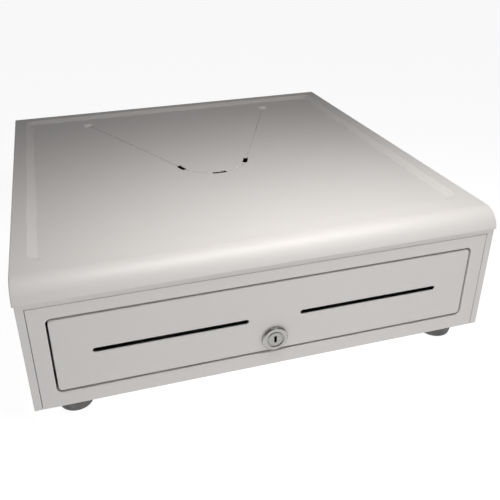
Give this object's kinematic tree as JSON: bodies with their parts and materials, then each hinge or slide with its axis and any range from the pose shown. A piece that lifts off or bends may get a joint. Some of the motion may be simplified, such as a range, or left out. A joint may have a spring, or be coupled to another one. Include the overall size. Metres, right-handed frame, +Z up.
{
  "type": "cash drawer",
  "caption": "Steel electronic cash drawer, white powder coat, flanged lid with recessed top and cable tab, keyed front lock, media slots, roller slides, till tray, rubber feet.",
  "frame": {"origin": "centre of the footprint at the level the feet stand on", "axes": "+Z up, the drawer opens towards -Y, +X is to the right of someone who faces the drawer's front"},
  "size_m": [0.4114, 0.4189, 0.1286],
  "materials": {
    "painted_shell": "satin",
    "rubber": "matte",
    "plated_steel": "satin",
    "galvanised_sheet": "satin",
    "roller_plastic": "satin",
    "black_plastic": "satin",
    "lock_nickel": "polished",
    "coil_wrap": "satin",
    "board": "satin"
  },
  "bodies": {
    "root": {"top_cover": "painted_shell", "case_shell": "painted_shell", "rear_panel": "painted_shell", "front_bezel": "painted_shell", "foot_front_left": "rubber", "foot_front_right": "rubber", "foot_rear_left": "rubber", "foot_rear_right": "rubber", "foot_screws": "plated_steel", "cover_screws": "plated_steel", "slide_channel_left": "galvanised_sheet", "slide_channel_right": "galvanised_sheet", "slide_brackets": "galvanised_sheet", "slide_end_stops": "rubber", "front_roller_axles": "plated_steel", "latch_carrier": "galvanised_sheet", "latch_pivot_pin": "plated_steel", "solenoid_frame": "galvanised_sheet", "solenoid_coil": "coil_wrap", "ejector_housing": "roller_plastic", "switch_body": "black_plastic", "control_board": "board", "board_standoffs": "plated_steel", "interface_socket": "black_plastic"},
    "drawer": {"drawer_front": "painted_shell", "drawer_pan": "galvanised_sheet", "front_screws": "plated_steel", "runner_left": "galvanised_sheet", "runner_right": "galvanised_sheet", "rear_roller_axles": "plated_steel", "striker": "galvanised_sheet", "media_chutes": "galvanised_sheet", "till_ledges": "galvanised_sheet", "till_tray": "black_plastic", "clip_axle": "plated_steel", "coin_cup_1": "black_plastic", "coin_cup_2": "black_plastic", "coin_cup_3": "black_plastic", "coin_cup_4": "black_plastic", "coin_cup_5": "black_plastic", "lock_body": "lock_nickel", "lock_nut": "lock_nickel"},
    "front_rollers": {"front_rollers": "roller_plastic"},
    "rear_rollers": {"rear_rollers": "roller_plastic"},
    "lock_plug": {"lock_plug": "lock_nickel", "lock_cam": "plated_steel"},
    "plunger": {"solenoid_plunger": "plated_steel", "plunger_pin": "plated_steel", "plunger_spring": "plated_steel"},
    "latch": {"latch_lever": "galvanised_sheet"},
    "ejector": {"ejector_pusher": "roller_plastic", "ejector_spring": "plated_steel"},
    "switch": {"switch_lever": "galvanised_sheet"},
    "clip_1": {"bill_clip_1": "black_plastic"},
    "clip_2": {"bill_clip_2": "black_plastic"},
    "clip_3": {"bill_clip_3": "black_plastic"},
    "clip_4": {"bill_clip_4": "black_plastic"},
    "clip_5": {"bill_clip_5": "black_plastic"}
  },
  "joints": [
    {"name": "drawer_slide", "type": "slide", "parent": "root", "child": "drawer", "axis": [0, -1, 0], "range_m": [0, 0.31]},
    {"name": "front_roller_spin", "type": "hinge", "parent": "root", "child": "front_rollers", "pos_m": [0, -0.183, 0.0385], "axis": [1, 0, 0], "range_deg": [-10, 2760]},
    {"name": "rear_roller_spin", "type": "hinge", "parent": "drawer", "child": "rear_rollers", "pos_m": [0, 0.165, 0.0393], "axis": [1, 0, 0], "range_deg": [-10, 2240]},
    {"name": "lock_turn", "type": "hinge", "parent": "drawer", "child": "lock_plug", "pos_m": [0, -0.195, 0.0386], "axis": [0, 1, 0], "range_deg": [-90, 90]},
    {"name": "plunger_lift", "type": "slide", "parent": "root", "child": "plunger", "axis": [0, 0, 1], "range_m": [0, 0.003], "stiffness_N_per_m": 150, "springref_m": -0.001, "deforming": ["plunger_spring"]},
    {"name": "latch_swing", "type": "hinge", "parent": "root", "child": "latch", "pos_m": [0, 0.184, 0.04], "axis": [-1, 0, 0], "range_deg": [0, 13.5]},
    {"name": "ejector_push", "type": "slide", "parent": "root", "child": "ejector", "axis": [0, 1, 0], "range_m": [0, 0.006], "stiffness_N_per_m": 30, "springref_m": -0.002},
    {"name": "switch_press", "type": "hinge", "parent": "root", "child": "switch", "pos_m": [-0.058, 0.171, 0.047], "axis": [0, 0, 1], "range_deg": [0, 8], "stiffness_Nm_per_rad": 0.0005, "springref_deg": -5.73},
    {"name": "bill_clip_1_lift", "type": "hinge", "parent": "drawer", "child": "clip_1", "pos_m": [-0.13872, 0.131, 0.082], "axis": [-1, 0, 0], "range_deg": [0, 45]},
    {"name": "bill_clip_2_lift", "type": "hinge", "parent": "drawer", "child": "clip_2", "pos_m": [-0.06936, 0.131, 0.082], "axis": [-1, 0, 0], "range_deg": [0, 45]},
    {"name": "bill_clip_3_lift", "type": "hinge", "parent": "drawer", "child": "clip_3", "pos_m": [0, 0.131, 0.082], "axis": [-1, 0, 0], "range_deg": [0, 45]},
    {"name": "bill_clip_4_lift", "type": "hinge", "parent": "drawer", "child": "clip_4", "pos_m": [0.06936, 0.131, 0.082], "axis": [-1, 0, 0], "range_deg": [0, 45]},
    {"name": "bill_clip_5_lift", "type": "hinge", "parent": "drawer", "child": "clip_5", "pos_m": [0.13872, 0.131, 0.082], "axis": [-1, 0, 0], "range_deg": [0, 45]}
  ],
  "couplings": [
    {"joint": "front_roller_spin", "follows": "drawer_slide", "rad_per_m": 153.85},
    {"joint": "rear_roller_spin", "follows": "drawer_slide", "rad_per_m": 125},
    {"joint": "latch_swing", "follows": "plunger_lift", "rad_per_m": 76.92}
  ]
}
